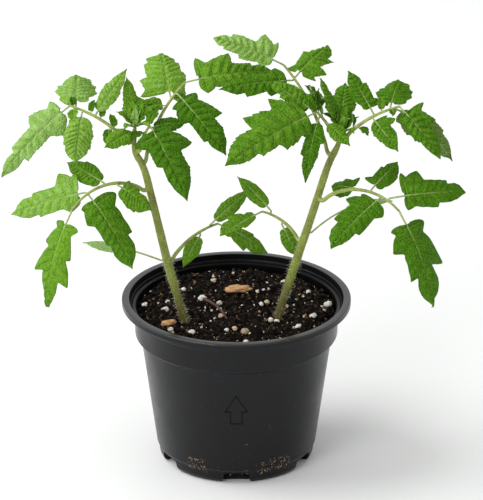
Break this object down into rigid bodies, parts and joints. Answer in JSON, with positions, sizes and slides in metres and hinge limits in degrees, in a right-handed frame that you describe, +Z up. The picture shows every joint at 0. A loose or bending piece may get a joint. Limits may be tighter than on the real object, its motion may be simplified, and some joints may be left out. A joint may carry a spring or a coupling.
{
  "type": "potted tomato plant",
  "caption": "Two young tomato plants with compound lobed leaves, growing in a round black nursery pot of potting mix.",
  "frame": {"origin": "middle of the pot's flat foot", "axes": "+Z up through the pot, -Y towards the pot's front, +X to its right"},
  "size_m": [0.2398, 0.12, 0.2266],
  "materials": {
    "pot_plastic": "satin black moulded plastic",
    "potting_mix": "moist dark peat and bark crumbs with white perlite",
    "stem": "pale olive green, finely hairy",
    "leaf_stalk": "green, tinged purple, finely hairy",
    "leaf": "matt mid green with sunken veins",
    "bark": "weathered orange-brown bark"
  },
  "bodies": {
    "root": {"bark_chip": "bark", "left_leaf_1_lower_leaflet": "leaf", "left_leaf_1_stalk": "leaf_stalk", "left_leaf_1_terminal_leaflet": "leaf", "left_leaf_1_upper_leaflet": "leaf", "left_leaf_2_front_leaflet": "leaf", "left_leaf_2_inner_leaflet": "leaf", "left_leaf_2_outer_leaflet": "leaf", "left_leaf_2_stalk": "leaf_stalk", "left_leaf_2_terminal_leaflet": "leaf", "left_leaf_2_upper_leaflet": "leaf", "left_leaf_3_fan_leaflet": "leaf", "left_leaf_3_lower_leaflet": "leaf", "left_leaf_3_stalk": "leaf_stalk", "left_leaf_3_terminal_leaflet": "leaf", "left_leaf_3_upright_leaflet": "leaf", "left_leaf_4_crown_leaflet": "leaf", "left_leaf_4_front_leaflet": "leaf", "left_leaf_4_stalk": "leaf_stalk", "left_leaf_4_terminal_leaflet": "leaf", "left_leaf_5_front_leaflet": "leaf", "left_leaf_5_inner_leaflet": "leaf", "left_leaf_5_stalk": "leaf_stalk", "left_seed_leaf": "leaf", "left_stem": "stem", "left_young_leaf_back": "leaf", "left_young_leaf_low": "leaf", "left_young_leaf_upright": "leaf", "pot": "pot_plastic", "right_leaf_1_lower_leaflet": "leaf", "right_leaf_1_stalk": "leaf_stalk", "right_leaf_1_terminal_leaflet": "leaf", "right_leaf_1_upper_leaflet": "leaf", "right_leaf_2_front_leaflet": "leaf", "right_leaf_2_inner_leaflet": "leaf", "right_leaf_2_outer_leaflet": "leaf", "right_leaf_2_stalk": "leaf_stalk", "right_leaf_2_terminal_leaflet": "leaf", "right_leaf_2_upper_leaflet": "leaf", "right_leaf_3_fan_leaflet": "leaf", "right_leaf_3_lower_leaflet": "leaf", "right_leaf_3_outer_leaflet": "leaf", "right_leaf_3_stalk": "leaf_stalk", "right_leaf_3_terminal_leaflet": "leaf", "right_leaf_3_upright_leaflet": "leaf", "right_leaf_4_crown_leaflet": "leaf", "right_leaf_4_front_leaflet": "leaf", "right_leaf_4_stalk": "leaf_stalk", "right_leaf_4_terminal_leaflet": "leaf", "right_leaf_5_front_leaflet": "leaf", "right_leaf_5_inner_leaflet": "leaf", "right_leaf_5_lower_leaflet": "leaf", "right_leaf_5_stalk": "leaf_stalk", "right_leaf_5_upper_leaflet": "leaf", "right_seed_leaf": "leaf", "right_stem": "stem", "right_young_leaf_back": "leaf", "right_young_leaf_upright": "leaf", "soil": "potting_mix"}
  },
  "joints": []
}
